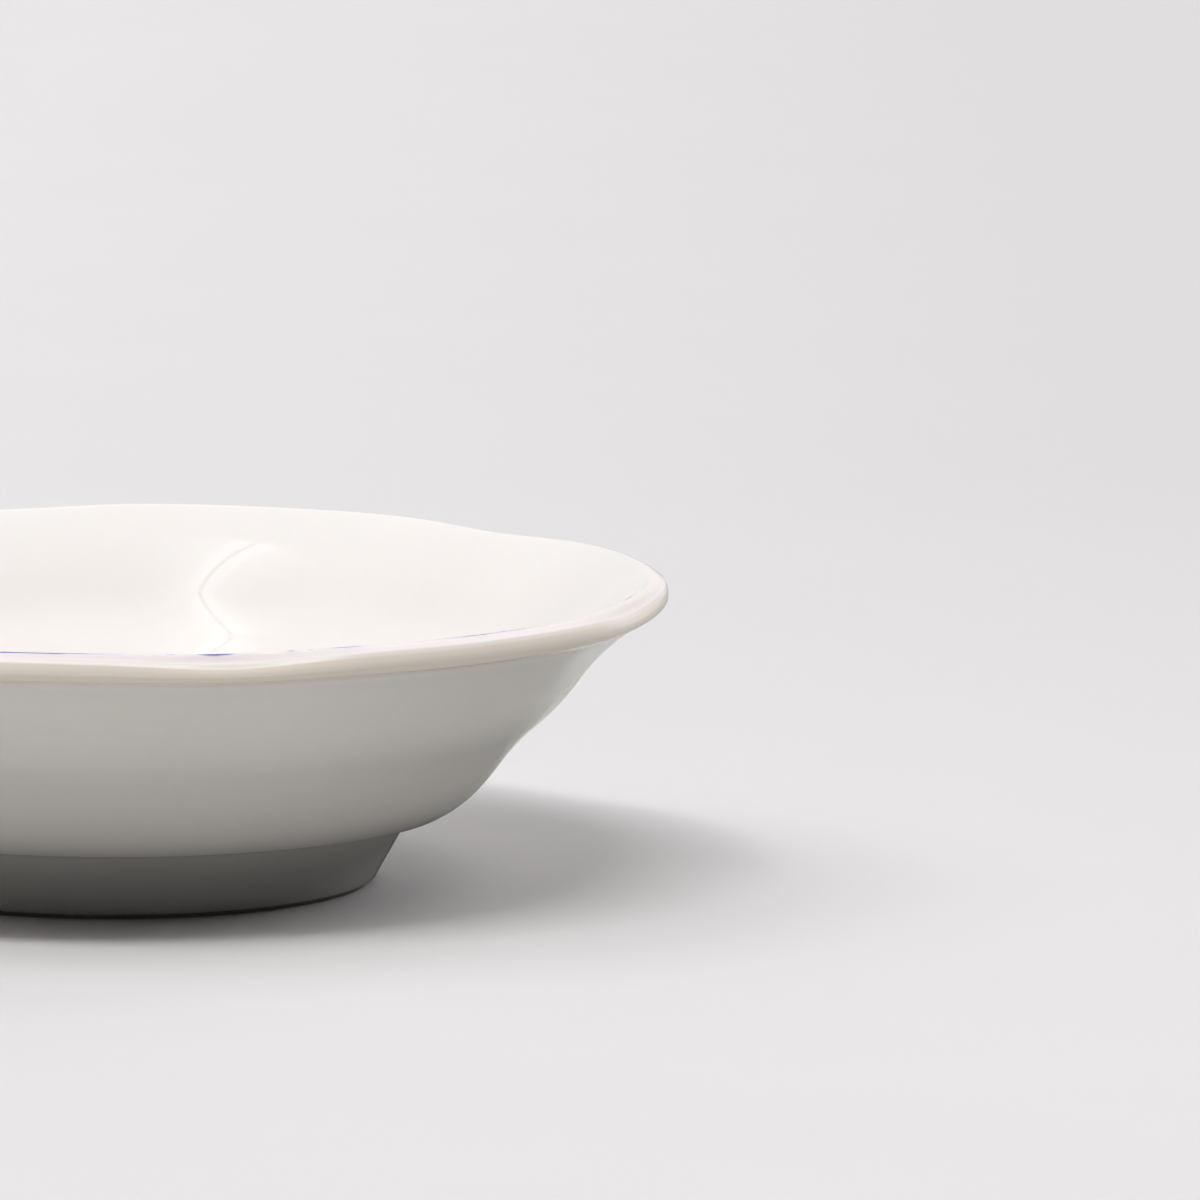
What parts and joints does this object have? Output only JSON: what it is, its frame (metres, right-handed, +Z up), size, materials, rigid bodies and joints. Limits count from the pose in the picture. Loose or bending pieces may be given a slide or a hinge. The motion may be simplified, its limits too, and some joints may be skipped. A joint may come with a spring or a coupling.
{
  "type": "shallow bowl",
  "caption": "Shallow glazed porcelain bowl with a flared, softly lobed rim and a tapered foot ring, for serving food at table.",
  "frame": {"origin": "centre of the foot ring, on the table plane", "axes": "+Z up along the bowl's axis, +X to the crest of one lobe of the rim"},
  "size_m": [0.14, 0.1376, 0.0381],
  "materials": {
    "biscuit": "bare fired porcelain, matt",
    "white_glaze": "warm white clear glaze, glossy"
  },
  "bodies": {
    "root": {"bowl_body": "biscuit", "foot_ring": "biscuit", "inner_glaze": "white_glaze", "outer_glaze": "white_glaze", "base_glaze": "white_glaze"}
  },
  "joints": []
}
